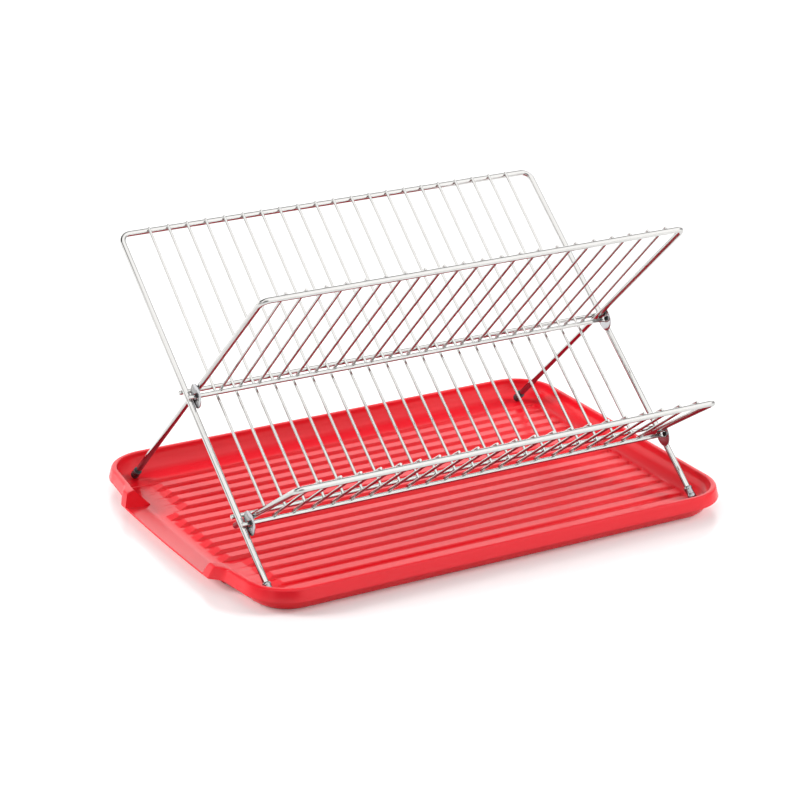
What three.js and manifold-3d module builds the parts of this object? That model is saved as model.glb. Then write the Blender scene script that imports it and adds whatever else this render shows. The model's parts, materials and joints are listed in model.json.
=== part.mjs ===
// Folding wire dish rack that stands in a ribbed drip tray.
// Millimetres, +X to the right, +Y to the back, +Z up.
// The origin is the middle of the tray's underside, on the table.

import * as THREE from 'three';
import { mergeVertices } from 'three/addons/utils/BufferGeometryUtils.js';
import Module from 'manifold-3d';

const wasm = await Module();
wasm.setup();

// Clearances
const seatGap = 0.3; // between two pieces that touch, or are welded, on the real rack
const cutOverrun = 4; // how far a cutting tool passes a face
const joinOverlap = 0.6; // how far two bodies of one solid run into each other

// Stock: the three wires, the plates and the feet
const hoopRadius = 3;
const barRadius = 2.2;
const wireRadius = 1.4;
const plateThickness = 1;
const capWall = 0.9;
const capLength = 15;

// Main frame: the large hoop that leans back from the front feet
const mainLean = 38.64; // degrees up from the tray's floor
const mainLength = 414.5; // foot to top bar, along the legs
const mainHalfSpan = 235;
const mainCorner = 10;
const crossPivotAt = 219.5; // the rods' places along the main legs
const shelfPivotAt = 77.6;
const barStickOut = 1.5; // bar ends past the outside of the main legs

// Cross frame: the hoop that leans forward and crosses the main frame
const crossLean = 42.86;
const crossLength = 407.5;
const crossCorner = 8;

// Lower shelf: the short hoop in front
const shelfLean = 33;
const shelfReach = 114.3; // rod to front bar
const shelfTail = 38; // legs behind the rod, which lie under the main frame's low bar
const shelfCorner = 8;

// Wires of the three grilles
const wirePitch = 20.5;
const wireRoom = 20; // at least this from the outermost wires to the inner hoops' legs
const crossWireShift = 3; // the inner hoops' wires stand a little to the right
const shelfWireShift = 2;
const wirePast = 1.2; // wire ends past the axis of a hoop's bar
const wireTail = 1; // wire ends past the outside of a thin bar

// Pivot plates, in the plane across the main legs
const plateTurn = 24; // degrees, from square to the leg towards its foot
const plateRear = 7; // rod axis to the rear edge
const plateFront = 14.5;
const plateHalfHeight = 12;
const slotFront = 10.6;

// Tray
const sideRoom = 19; // from the main legs' axes to the inside of the rim, on average
const frontRoom = 21.5; // from the front foot line to the inside of the rim
const backRoom = 18;
const trayCorner = 40;
const trayWall = 1.8;
const floorTop = 6.2; // the level that the feet stand on, above the table
const rimRise = 18; // rim above the floor
const rimWidth = 5.5;
const skirtDrop = 12;
const skirtFlare = 3; // the skirt stands out this much more at its lower edge
const leftBow = 12; // the left rim bulges towards the spout
const drawLeft = 8; // how far each wall leans in between the rim and the floor
const drawRight = 17;
const drawFront = 7;
const drawBack = 18;

// Ribs, channel and spout of the tray
const ribPitch = 18.8;
const ribsRoom = 40; // at least this from the ribs to the inside of the front and back rim
const ribTop = 9;
const ribsShiftY = 3;
const ribEndSlope = 11;
const grooveBottom = 5.2;
const channelDepth = 3.4;
const grooveShallow = 2.6;
const grooveEndSlope = 4.5;
const shortRibs = 4; // shorter ribs at the front and at the back
const shortRibRoom = 31; // from the left rim to the foot of the short ribs' ends
const longRibRoom = 13;
const channelRoom = 6; // from the left rim to the channel
const channelEndSlope = 12;
const spoutShiftY = -3;
const spoutHalf = 87; // half of the gap in the left rim, at the lip's edge
const spoutFunnel = 20; // each end stands out this much more at the foot of the ramp
const spoutFlare = 3; // and this much more at the rim than at the lip
const spoutRise = 6.3; // the lip above the tray's floor
const spoutReach = 21; // the lip's edge, left of the rim's straight ends
const spoutBow = 1.5;
const cheekWidth = 11.5; // the spout's body past the gap, at each end
const cheekBlend = 16; // from there on to the plain rim
const cheekLean = 4; // the cheeks' tops stand back from the lip's edge
const cheekEdge = 2; // their tops' rounding
const rampFoot = 6; // the ramp up to the lip starts this far inside the channel
const rampKneeShare = 0.3; // of the ramp, rounded at its foot
const pocketWidth = 5.4; // hollows under the ribs
const webWidth = 18; // the solid strip across the middle of the underside
const pocketInset = 14;

// Where the rack stands in the tray
const rackShiftX = -3;

// Facets
const hoopSides = 12;
const barSides = 10;
const wireSides = 8;
const cornerSteps = 6;
const trayCornerSteps = 8;
const wallSteps = 5;
const bowSteps = 10;
const domeSteps = 5;
const rampSteps = 10;

// Worked out from the values above
const rad = THREE.MathUtils.degToRad;
const quarterTurn = Math.PI / 2;
const weldReach = hoopRadius + seatGap + barRadius; // axis of a leg to axis of a bar welded to it
const wireOnBar = barRadius + seatGap + wireRadius;
const wireOnHoop = hoopRadius + seatGap + wireRadius;
const innerHalfSpan = mainHalfSpan - 2 * hoopRadius - 2 * seatGap - plateThickness;
const plateX = mainHalfSpan - hoopRadius - seatGap - plateThickness / 2;
const capRadius = hoopRadius + seatGap + capWall;
const barHalf = mainHalfSpan + hoopRadius + barStickOut;
const rodHalf = mainHalfSpan + hoopRadius;
const wireCount = 1 + 2 * Math.floor((innerHalfSpan - wireRoom) / wirePitch);
const channelFloor = floorTop - channelDepth;
const rimTop = floorTop + rimRise;

// A point of the main frame, along its legs and off them, in the rack's own Y and Z
function onMain(along, off) {
  const point = new THREE.Vector3(0, along, off);
  return point.applyAxisAngle(new THREE.Vector3(1, 0, 0), rad(mainLean));
}

// Where the crossing lies along the cross frame's legs, which puts all four feet level,
// and how far the back feet stand behind the front ones
const crossRod = onMain(crossPivotAt, weldReach);
const crossAngle = rad(crossLean);
const crossRodAt = (crossRod.z + weldReach * Math.cos(crossAngle)) / Math.sin(crossAngle);
const footSpread = crossRod.y + crossRodAt * Math.cos(crossAngle) + weldReach * Math.sin(crossAngle);

const trayLength = 2 * (mainHalfSpan + sideRoom); // inside the rim
const trayWidth = frontRoom + footSpread + backRoom;
const ribCount = 1 + 2 * Math.floor((trayWidth / 2 - ribsRoom) / ribPitch);
const ribsRightEnd = trayLength / 2 - drawRight; // all four from the tray's middle
const shortRibFoot = trayLength / 2 - shortRibRoom;
const longRibFoot = trayLength / 2 - longRibRoom;
const channelEdge = trayLength / 2 - channelRoom;
const spoutEdge = trayLength / 2 + spoutReach;
const lipTop = floorTop + spoutRise;

const chrome = { color: 0xd6d8dc, roughness: 0.12, metalness: 1 };
const steel = { color: 0xc3c6ca, roughness: 0.25, metalness: 1 };
const redPlastic = { color: 0xdf2a30, roughness: 0.32, metalness: 0 };
const greyPlastic = { color: 0x4c4f54, roughness: 0.5, metalness: 0 };

// A route through given points, sampled at those points and nowhere else
class Route extends THREE.Curve {
  constructor(points) {
    super();
    this.points = points;
    this.last = points.length - 1;
  }

  getPoint(t, target = new THREE.Vector3()) {
    return target.copy(this.points[Math.round(t * this.last)]);
  }

  getPointAt(t, target) {
    return this.getPoint(t, target);
  }

  getTangentAt(t, target = new THREE.Vector3()) {
    const i = Math.round(t * this.last);
    const before = this.points[Math.max(i - 1, 0)];
    const after = this.points[Math.min(i + 1, this.last)];
    const here = this.points[i];
    const inward = i > 0 ? here.clone().sub(before).normalize() : new THREE.Vector3();
    const outward = i < this.last ? after.clone().sub(here).normalize() : new THREE.Vector3();
    return target.copy(inward.add(outward)).normalize();
  }
}

function circleShape(radius, sides) {
  const points = [];
  for (let i = 0; i < sides; i += 1) {
    const turn = (i + 0.5) * 2 * Math.PI / sides;
    points.push(new THREE.Vector2(radius * Math.cos(turn), radius * Math.sin(turn)));
  }
  return new THREE.Shape(points);
}

function rodAlong(points, radius, sides) {
  const route = new Route(points);
  const options = { steps: points.length - 1, bevelEnabled: false, extrudePath: route };
  return new THREE.ExtrudeGeometry(circleShape(radius, sides), options);
}

// The legs and the rounded top of a hoop, in its own plane: X across, Y along the legs
function hoopPoints(halfSpan, start, length, corner) {
  const points = [new THREE.Vector3(-halfSpan, start, 0)];
  for (const side of [-1, 1]) {
    for (let i = 0; i <= cornerSteps; i += 1) {
      const share = side < 0 ? i / cornerSteps : 1 - i / cornerSteps;
      const turn = share * quarterTurn;
      const across = halfSpan - corner + corner * Math.cos(turn);
      const along = length - corner + corner * Math.sin(turn);
      points.push(new THREE.Vector3(side * across, along, 0));
    }
  }
  points.push(new THREE.Vector3(halfSpan, start, 0));
  return points;
}

function crossBar(half, along, off) {
  const ends = [new THREE.Vector3(-half, along, off), new THREE.Vector3(half, along, off)];
  return rodAlong(ends, barRadius, barSides);
}

function named(name, geometry, finish) {
  const mesh = new THREE.Mesh(geometry, new THREE.MeshStandardMaterial(finish));
  mesh.name = name;
  return mesh;
}

// Booleans
function toSolid(geometry) {
  const bare = geometry.clone();
  bare.deleteAttribute('normal');
  bare.deleteAttribute('uv');
  const merged = mergeVertices(bare, 1e-4);
  const vertProperties = new Float32Array(merged.attributes.position.array);
  const triVerts = new Uint32Array(merged.index.array);
  return new wasm.Manifold(new wasm.Mesh({ numProp: 3, vertProperties, triVerts }));
}

function toGeometry(solid) {
  const mesh = solid.getMesh();
  const geometry = new THREE.BufferGeometry();
  geometry.setAttribute('position', new THREE.BufferAttribute(mesh.vertProperties, 3));
  geometry.setIndex(new THREE.BufferAttribute(mesh.triVerts, 1));
  geometry.computeVertexNormals();
  return geometry;
}

// A closed skin over rings of equally many points; each ring is counterclockwise seen from
// the side that the rings climb towards
function loft(rings) {
  const count = rings[0].length;
  const position = [];
  const index = [];
  for (const ring of rings) {
    for (const point of ring) {
      position.push(point.x, point.y, point.z);
    }
  }
  for (let level = 0; level < rings.length - 1; level += 1) {
    for (let i = 0; i < count; i += 1) {
      const next = (i + 1) % count;
      const low = level * count;
      const high = low + count;
      index.push(low + i, low + next, high + next);
      index.push(low + i, high + next, high + i);
    }
  }
  const lastRing = (rings.length - 1) * count;
  for (let i = 1; i < count - 1; i += 1) {
    index.push(0, i + 1, i);
    index.push(lastRing, lastRing + i, lastRing + i + 1);
  }
  const geometry = new THREE.BufferGeometry();
  geometry.setAttribute('position', new THREE.Float32BufferAttribute(position, 3));
  geometry.setIndex(index);
  return geometry;
}

function boxSolid(low, high) {
  const size = high.clone().sub(low);
  const box = new THREE.BoxGeometry(size.x, size.y, size.z);
  const middle = low.clone().add(high).multiplyScalar(1 / 2);
  box.translate(middle.x, middle.y, middle.z);
  return toSolid(box);
}

// Feet: a sleeve with a domed end, along Y, with the dome's centre at zero
function footCap() {
  const bore = hoopRadius + seatGap;
  const profile = [];
  for (let i = 0; i <= domeSteps; i += 1) {
    const turn = quarterTurn * (i / domeSteps);
    const radius = i === 0 ? 0 : capRadius * Math.sin(turn);
    profile.push(new THREE.Vector2(radius, -capRadius * Math.cos(turn)));
  }
  profile.push(new THREE.Vector2(capRadius, capLength - capRadius));
  profile.push(new THREE.Vector2(bore, capLength - capRadius));
  profile.push(new THREE.Vector2(bore, 0));
  profile.push(new THREE.Vector2(0, 0));
  return new THREE.LatheGeometry(profile, hoopSides);
}

function addFeet(group, name, halfSpan, lean) {
  const domeAt = capRadius / Math.sin(lean);
  for (const [side, label] of [[-1, 'left'], [1, 'right']]) {
    const cap = named(`${name}_foot_cap_${label}`, footCap(), greyPlastic);
    cap.position.set(side * halfSpan, domeAt, 0);
    group.add(cap);
  }
  return domeAt + seatGap;
}

// Pivot plate: a stamped oval with the slot that its rod turns in, standing across X
function plateGeometry() {
  const outline = new THREE.Shape();
  const middle = (plateFront - plateRear) / 2;
  const halfLength = (plateFront + plateRear) / 2;
  outline.absellipse(middle, 0, halfLength, plateHalfHeight, 0, 2 * Math.PI, false);
  const slot = new THREE.Path();
  const half = barRadius + seatGap;
  slot.absarc(0, 0, half, quarterTurn, 3 * quarterTurn, false);
  slot.absarc(slotFront - half, 0, half, -quarterTurn, quarterTurn, false);
  slot.closePath();
  outline.holes.push(slot);
  const options = { depth: plateThickness, bevelEnabled: false, curveSegments: hoopSides };
  const geometry = new THREE.ExtrudeGeometry(outline, options);
  geometry.translate(0, 0, -plateThickness / 2);
  const turn = rad(plateTurn);
  const forward = new THREE.Vector3(0, -Math.sin(turn), Math.cos(turn));
  const downward = new THREE.Vector3(0, -Math.cos(turn), -Math.sin(turn));
  const across = new THREE.Vector3(1, 0, 0);
  return geometry.applyMatrix4(new THREE.Matrix4().makeBasis(forward, downward, across));
}

function addPlates(group, name, along) {
  for (const [side, label] of [[-1, 'left'], [1, 'right']]) {
    const plate = named(`${name}_pivot_plate_${label}`, plateGeometry(), steel);
    plate.position.set(side * plateX, along, weldReach);
    group.add(plate);
  }
}

// How far past its rod a frame's stop bar lies, along the main legs, so that the frame's
// legs touch the bar when the frame stands open at this angle to the main legs
function stopBarOffset(openAngle) {
  return (2 * weldReach + 2 * weldReach * Math.cos(openAngle)) / Math.sin(openAngle);
}

function addWires(group, name, shift, profile) {
  for (let i = 0; i < wireCount; i += 1) {
    const x = shift + (i - (wireCount - 1) / 2) * wirePitch;
    const points = profile.map(([along, off]) => new THREE.Vector3(x, along, off));
    const label = String(i + 1).padStart(2, '0');
    group.add(named(`${name}_wire_${label}`, rodAlong(points, wireRadius, wireSides), chrome));
  }
}

// Main frame: Y runs up its legs, Z points to its front and upper side
function mainFrame() {
  const group = new THREE.Group();
  const lean = rad(mainLean);
  const start = addFeet(group, 'front', mainHalfSpan, lean);
  const route = hoopPoints(mainHalfSpan, start, mainLength, mainCorner);
  group.add(named('main_hoop', rodAlong(route, hoopRadius, hoopSides), chrome));
  const midAt = crossPivotAt + stopBarOffset(lean + rad(crossLean));
  const lowAt = shelfPivotAt + stopBarOffset(lean + rad(shelfLean));
  group.add(named('main_mid_bar', crossBar(barHalf, midAt, -weldReach), chrome));
  group.add(named('main_low_bar', crossBar(barHalf, lowAt, -weldReach), chrome));
  const behind = wireOnBar - weldReach;
  addWires(group, 'main', 0, [
    [lowAt - barRadius - wireTail, behind],
    [lowAt, behind],
    [midAt, behind],
    [mainLength - hoopRadius, wireOnHoop],
    [mainLength + wirePast, wireOnHoop],
  ]);
  addPlates(group, 'cross', crossPivotAt);
  addPlates(group, 'shelf', shelfPivotAt);
  group.rotation.x = lean;
  return group;
}

// Cross frame: Y runs up its legs from the back feet, Z points to its front and under side
function crossFrame() {
  const group = new THREE.Group();
  const start = addFeet(group, 'back', innerHalfSpan, crossAngle);
  const route = hoopPoints(innerHalfSpan, start, crossLength, crossCorner);
  group.add(named('cross_hoop', rodAlong(route, hoopRadius, hoopSides), chrome));
  group.add(named('cross_pivot_rod', crossBar(rodHalf, crossRodAt, weldReach), chrome));
  const atRod = weldReach - wireOnBar;
  addWires(group, 'cross', crossWireShift, [
    [crossRodAt - barRadius - wireTail, atRod],
    [crossRodAt, atRod],
    [crossLength - hoopRadius, -wireOnHoop],
    [crossLength + wirePast, -wireOnHoop],
  ]);
  group.rotation.x = Math.PI - crossAngle;
  group.position.set(0, footSpread, 0);
  return group;
}

// Lower shelf: Y runs forward and up from its rod, Z points to its under side
function lowerShelf() {
  const group = new THREE.Group();
  const route = hoopPoints(innerHalfSpan, -shelfTail, shelfReach, shelfCorner);
  group.add(named('shelf_hoop', rodAlong(route, hoopRadius, hoopSides), chrome));
  let grille = toSolid(crossBar(rodHalf, 0, weldReach));
  const weldBite = seatGap + joinOverlap; // these wires are one solid with their rod
  const atRod = weldReach - wireOnBar + weldBite;
  for (let i = 0; i < wireCount; i += 1) {
    const x = shelfWireShift + (i - (wireCount - 1) / 2) * wirePitch;
    const points = [
      new THREE.Vector3(x, -barRadius, atRod),
      new THREE.Vector3(x, barRadius, atRod),
      new THREE.Vector3(x, shelfReach - hoopRadius, -wireOnHoop),
      new THREE.Vector3(x, shelfReach + wirePast, -wireOnHoop),
    ];
    grille = grille.add(toSolid(rodAlong(points, wireRadius, wireSides)));
  }
  group.add(named('shelf_grille', toGeometry(grille), chrome));
  group.rotation.x = Math.PI - rad(shelfLean);
  const seat = new THREE.Vector3(0, 0, weldReach).applyEuler(group.rotation);
  group.position.copy(onMain(shelfPivotAt, weldReach).sub(seat));
  return group;
}

// How far the left rim stands out at y
function bowAt(y) {
  const straight = trayWidth / 2 - trayCorner;
  return leftBow * Math.sin(Math.PI * (straight - y) / (2 * straight));
}

// Tray outline at one level of its wall, counterclockwise from above. lean is the share of
// each side's draw that is taken in there, and grow is added all round.
function trayOutline(z, lean, grow) {
  const corners = [
    [1, -1, drawRight, drawFront],
    [1, 1, drawRight, drawBack],
    [-1, 1, drawLeft, drawBack],
    [-1, -1, drawLeft, drawFront],
  ];
  const points = [];
  corners.forEach(([sideX, sideY, drawX, drawY], corner) => {
    const middleX = sideX * (trayLength / 2 - trayCorner);
    const middleY = sideY * (trayWidth / 2 - trayCorner);
    for (let i = 0; i <= trayCornerSteps; i += 1) {
      const turn = (corner - 1 + i / trayCornerSteps) * quarterTurn;
      const x = middleX + (trayCorner - lean * drawX + grow) * Math.cos(turn);
      const y = middleY + (trayCorner - lean * drawY + grow) * Math.sin(turn);
      points.push(new THREE.Vector3(x, y, z));
    }
    if (sideX < 0 && sideY > 0) {
      const side = -trayLength / 2 + lean * drawX - grow;
      for (let i = 1; i < bowSteps; i += 1) {
        const share = i / bowSteps;
        const y = middleY * (1 - 2 * share);
        points.push(new THREE.Vector3(side - bowAt(y), y, z));
      }
    }
  });
  return points;
}

// The wall from the floor up to the rim, a quarter of an ellipse in section
function trayWallLoft(base, top, grow, overrun) {
  const rings = [];
  for (let i = 0; i <= wallSteps; i += 1) {
    const turn = quarterTurn * (i / wallSteps);
    const z = base + (top - base) * (1 - Math.cos(turn));
    rings.push(trayOutline(z, 1 - Math.sin(turn), grow));
  }
  if (overrun > 0) {
    rings.push(trayOutline(top + overrun, 0, grow));
  }
  return toSolid(loft(rings));
}

// A band of the rim and its skirt, which flares towards its lower edge
function rimBand(low, high, grow) {
  const ring = (z) => trayOutline(z, 0, grow + skirtFlare * (rimTop - z) / skirtDrop);
  return toSolid(loft([ring(low), ring(high)]));
}

function rectangleRing(x0, x1, y0, y1, z) {
  return [
    new THREE.Vector3(x0, y0, z),
    new THREE.Vector3(x1, y0, z),
    new THREE.Vector3(x1, y1, z),
    new THREE.Vector3(x0, y1, z),
  ];
}

// The low channel to the left of the ribs, with sloping sides
function channelCut(foot, frontY, backY) {
  const slope = ribEndSlope / channelDepth;
  const endSlope = channelEndSlope / channelDepth;
  const ring = (rise) => rectangleRing(
    -channelEdge,
    -foot + rise * slope,
    frontY - rise * endSlope,
    backY + rise * endSlope,
    channelFloor + rise,
  );
  return toSolid(loft([ring(0), ring(channelDepth + cutOverrun / slope)]));
}

// One groove between two ribs, deep at the left and shallow at the right
function grooveCut(y) {
  const halfTop = (ribPitch - ribTop) / 2;
  const flank = (halfTop - grooveBottom / 2) / channelDepth;
  const section = (x, depth) => [
    new THREE.Vector3(x, y + halfTop, floorTop + cutOverrun),
    new THREE.Vector3(x, y + halfTop, floorTop),
    new THREE.Vector3(x, y + halfTop - flank * depth, floorTop - depth),
    new THREE.Vector3(x, y - halfTop + flank * depth, floorTop - depth),
    new THREE.Vector3(x, y - halfTop, floorTop),
    new THREE.Vector3(x, y - halfTop, floorTop + cutOverrun),
  ].reverse();
  const rings = [
    section(-channelEdge, channelDepth),
    section(-longRibFoot, channelDepth),
    section(ribsRightEnd - grooveEndSlope, grooveShallow),
    section(ribsRightEnd, seatGap),
  ];
  return toSolid(loft(rings));
}

// The lip's edge, which bows out a little, from cheek to cheek
function lipAt(y) {
  const along = (y - spoutShiftY) / (spoutHalf + cheekWidth);
  return -spoutEdge - spoutBow * Math.cos(quarterTurn * along);
}

// The lip and the two cheeks beside it, before the gap is cut
function spoutBody() {
  const blend = spoutHalf + cheekWidth + cheekBlend;
  const rimAt = (y) => joinOverlap - trayLength / 2 - rimWidth - bowAt(y);
  const ring = (z, back) => {
    const half = spoutHalf + cheekWidth - back / 2;
    const points = [];
    points.push(new THREE.Vector3(-channelEdge, spoutShiftY - blend, z));
    points.push(new THREE.Vector3(-channelEdge, spoutShiftY + blend, z));
    points.push(new THREE.Vector3(rimAt(spoutShiftY + blend), spoutShiftY + blend, z));
    for (let i = 0; i <= bowSteps; i += 1) {
      const y = spoutShiftY + half * (1 - 2 * i / bowSteps);
      points.push(new THREE.Vector3(back + lipAt(y), y, z));
    }
    points.push(new THREE.Vector3(rimAt(spoutShiftY - blend), spoutShiftY - blend, z));
    return points;
  };
  let body = toSolid(loft([
    ring(lipTop - trayWall, 0),
    ring(lipTop, 0),
    ring(rimTop - cheekEdge, cheekLean),
    ring(rimTop, cheekLean + cheekEdge),
  ]));
  for (const side of [-1, 1]) {
    body = body.add(cheekRoot(side));
  }
  return body;
}

// The solid foot of a cheek, which closes the room between it and the ramp
function cheekRoot(side) {
  const inner = spoutHalf - cheekWidth / 2;
  const corner = spoutHalf + cheekWidth - trayWall;
  const outer = corner + cheekBlend;
  const right = -trayLength / 2;
  const left = trayWall - spoutEdge;
  const atRim = right + trayWall + joinOverlap - rimWidth - bowAt(spoutShiftY + side * outer);
  const outline = [[right, inner], [right, outer], [atRim, outer], [left, corner], [left, inner]];
  if (side < 0) {
    outline.reverse();
  }
  const ring = (z) => outline.map(([x, off]) => new THREE.Vector3(x, spoutShiftY + side * off, z));
  return toSolid(loft([ring(floorTop), ring(lipTop - trayWall + joinOverlap)]));
}

// Height of the ramp, as a share of the whole rise, at a share of the way up from its foot
function rampRise(share) {
  const straight = 1 - rampKneeShare / 2;
  if (share < rampKneeShare) {
    return share * share / (2 * rampKneeShare * straight);
  }
  return (share - rampKneeShare / 2) / straight;
}

// The gap in the left rim, whose ends draw together from the channel to the lip. It is cut
// a little deeper than the ramp, which then fills it up.
function spoutGap() {
  const foot = rampFoot - channelEdge;
  const edge = -spoutEdge - spoutBow;
  const low = channelFloor - seatGap;
  const halfAt = (x, z) => {
    const funnel = spoutFunnel * (x + spoutEdge) / (foot + spoutEdge);
    return spoutHalf + funnel + spoutFlare * (z - lipTop) / (rimTop - lipTop);
  };
  const ring = (x, z) => [[z, -1], [z, 1], [rimTop + cutOverrun, 1], [rimTop + cutOverrun, -1]]
    .map(([height, side]) => {
      return new THREE.Vector3(x, spoutShiftY + side * halfAt(x, height), height);
    });
  const rings = [ring(edge - cutOverrun, lipTop - seatGap / 2)];
  for (let i = 0; i < rampSteps; i += 1) {
    const share = i / rampSteps;
    const z = low + (lipTop - low) * rampRise(1 - share) - seatGap / 2;
    rings.push(ring(edge + (foot - edge) * share, z));
  }
  return toSolid(loft(rings));
}

// One section of the ramp from the channel up to the lip. full is 1 along the lip, and at 0
// the section lies buried in the wall's foot
function rampSection(y, full) {
  const inWall = joinOverlap + (1 - full) * drawLeft / 2 - trayLength / 2 - bowAt(y);
  const edge = full * lipAt(y) + (1 - full) * (inWall - seatGap);
  const foot = full * rampFoot - channelEdge - seatGap;
  const top = lipTop - (1 - full) * (spoutRise + seatGap);
  const low = channelFloor - seatGap;
  const heightAt = (x) => low + (top - low) * rampRise((foot - x) / (foot - edge));
  const points = [
    new THREE.Vector3(foot, y, low - seatGap),
    new THREE.Vector3(inWall + drawLeft / 2, y, low - seatGap),
    new THREE.Vector3(inWall, y, heightAt(inWall) - trayWall),
    new THREE.Vector3(edge, y, top - trayWall),
  ];
  for (let i = 0; i <= rampSteps; i += 1) {
    const x = edge + (foot - edge) * (i / rampSteps);
    points.push(new THREE.Vector3(x, y, heightAt(x)));
  }
  return points;
}

function spoutRamp() {
  const half = spoutHalf + cheekWidth;
  const rings = [rampSection(spoutShiftY - half - cheekBlend, 0)];
  for (let i = 0; i <= bowSteps; i += 1) {
    rings.push(rampSection(spoutShiftY + half * (2 * i / bowSteps - 1), 1));
  }
  rings.push(rampSection(spoutShiftY + half + cheekBlend, 0));
  return toSolid(loft(rings));
}

function underPocket(x0, x1, y0, y1) {
  const low = new THREE.Vector3(x0, y0, -cutOverrun);
  return boxSolid(low, new THREE.Vector3(x1, y1, floorTop - trayWall));
}

function dripTray() {
  const outer = trayWallLoft(0, rimTop, trayWall, 0);
  const skirtLow = rimTop - skirtDrop;
  const rim = rimBand(skirtLow, rimTop, rimWidth);
  const underRim = rimBand(skirtLow - cutOverrun, rimTop - trayWall, rimWidth - trayWall);
  let tray = rim.subtract(underRim).add(outer);
  tray = tray.add(spoutBody());
  tray = tray.subtract(trayWallLoft(floorTop, rimTop, 0, cutOverrun));

  const ribsHalf = ribCount * ribPitch / 2;
  const shortRun = shortRibs * ribPitch;
  const frontY = ribsShiftY - ribsHalf;
  const backY = ribsShiftY + ribsHalf;
  tray = tray.subtract(channelCut(longRibFoot, frontY, backY));
  tray = tray.subtract(channelCut(shortRibFoot, frontY, frontY + shortRun - channelEndSlope));
  tray = tray.subtract(channelCut(shortRibFoot, backY - shortRun + channelEndSlope, backY));
  for (let i = 0; i <= ribCount; i += 1) {
    tray = tray.subtract(grooveCut(frontY + i * ribPitch));
  }

  tray = tray.subtract(spoutGap()).add(spoutRamp());

  const left = -shortRibFoot + ribEndSlope + pocketInset;
  const right = ribsRightEnd - pocketInset;
  for (const [x0, x1] of [[left, -webWidth / 2], [webWidth / 2, right]]) {
    for (let i = 0; i < ribCount; i += 1) {
      const y = frontY + (i + 1 / 2) * ribPitch;
      tray = tray.subtract(underPocket(x0, x1, y - pocketWidth / 2, y + pocketWidth / 2));
    }
    const frontEdge = -trayWidth / 2 + drawFront + trayCorner / 2;
    const backEdge = trayWidth / 2 - drawBack - trayCorner / 2;
    tray = tray.subtract(underPocket(x0, x1, frontEdge, frontY - pocketWidth));
    if (backEdge > backY + pocketWidth) {
      tray = tray.subtract(underPocket(x0, x1, backY + pocketWidth, backEdge));
    }
  }
  return named('drip_tray', toGeometry(tray), redPlastic);
}

const rack = new THREE.Group();
rack.add(mainFrame(), crossFrame(), lowerShelf());
rack.position.set(rackShiftX, frontRoom - trayWidth / 2, floorTop + seatGap);

const dishRack = new THREE.Group();
dishRack.add(dripTray(), rack);

export default dishRack;
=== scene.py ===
import json
from math import acos, cos, pi, radians, sin, sqrt
import bmesh
import bpy
from mathutils import Matrix, Vector
from mathutils.geometry import delaunay_2d_cdt


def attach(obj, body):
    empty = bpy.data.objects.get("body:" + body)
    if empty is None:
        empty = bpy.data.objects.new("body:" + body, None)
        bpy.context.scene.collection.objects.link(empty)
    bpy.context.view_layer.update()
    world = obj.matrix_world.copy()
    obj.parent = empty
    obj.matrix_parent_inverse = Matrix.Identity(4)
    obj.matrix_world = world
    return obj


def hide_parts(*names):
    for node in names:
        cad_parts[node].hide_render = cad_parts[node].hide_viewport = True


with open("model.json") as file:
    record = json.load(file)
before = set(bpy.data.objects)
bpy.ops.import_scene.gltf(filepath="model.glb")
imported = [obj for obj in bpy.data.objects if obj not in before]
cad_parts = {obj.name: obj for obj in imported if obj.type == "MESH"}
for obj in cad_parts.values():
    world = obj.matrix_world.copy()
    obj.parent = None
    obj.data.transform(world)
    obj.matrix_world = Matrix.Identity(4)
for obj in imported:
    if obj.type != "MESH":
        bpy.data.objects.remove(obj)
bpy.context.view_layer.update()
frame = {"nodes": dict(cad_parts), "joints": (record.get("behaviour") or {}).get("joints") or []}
mm = 0.001
print("frame loaded:", len(frame["nodes"]), "nodes")


def addObject(name, data):
    obj = bpy.data.objects.new(name, data)
    bpy.context.scene.collection.objects.link(obj)
    return obj


# camera, as the photograph was taken
camera = {
    "azimuth": -29.52,  # degrees, from the left of straight ahead
    "elevation": 20.98,
    "roll": 0.29,
    "distance": 2593.5,
    "aim": (-32.0, -32.2, 120.0),
    "lens": 119.87,
    "sensor": 36.0,
    "farthest": 30,  # metres
}


def addCamera():
    turn, lift = radians(camera["azimuth"]), radians(camera["elevation"])
    aim = Vector(camera["aim"]) * mm
    away = Vector((sin(turn) * cos(lift), -cos(turn) * cos(lift), sin(lift)))
    data = bpy.data.cameras.new("photoCamera")
    data.sensor_width = camera["sensor"]
    data.lens = camera["lens"]
    data.clip_end = camera["farthest"]
    obj = addObject("photoCamera", data)
    obj.location = aim + away * camera["distance"] * mm
    look = (-away).to_track_quat("-Z", "Y")
    obj.rotation_mode = "QUATERNION"
    obj.rotation_quaternion = look @ Matrix.Rotation(radians(camera["roll"]), 3, "Z").to_quaternion()
    bpy.context.scene.camera = obj


addCamera()


# shader helpers

def newGroup(name, inputs, outputs):
    group = bpy.data.node_groups.new(name, "ShaderNodeTree")
    for label, kind, value in inputs:
        socket = group.interface.new_socket(label, in_out="INPUT", socket_type=kind)
        socket.default_value = value
    for label, kind in outputs:
        group.interface.new_socket(label, in_out="OUTPUT", socket_type=kind)
    return group, group.nodes.new("NodeGroupInput"), group.nodes.new("NodeGroupOutput")


def mapRange(nodes, low, high, toLow, toHigh):
    node = nodes.new("ShaderNodeMapRange")
    for label, value in (("From Min", low), ("From Max", high), ("To Min", toLow), ("To Max", toHigh)):
        node.inputs[label].default_value = value
    return node


def mathNode(nodes, links, operation, *values):
    # the values are sockets or numbers
    node = nodes.new("ShaderNodeMath")
    node.operation = operation
    for socket, value in zip(node.inputs, values):
        if isinstance(value, float):
            socket.default_value = value
        else:
            links.new(value, socket)
    return node.outputs[0]


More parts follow.
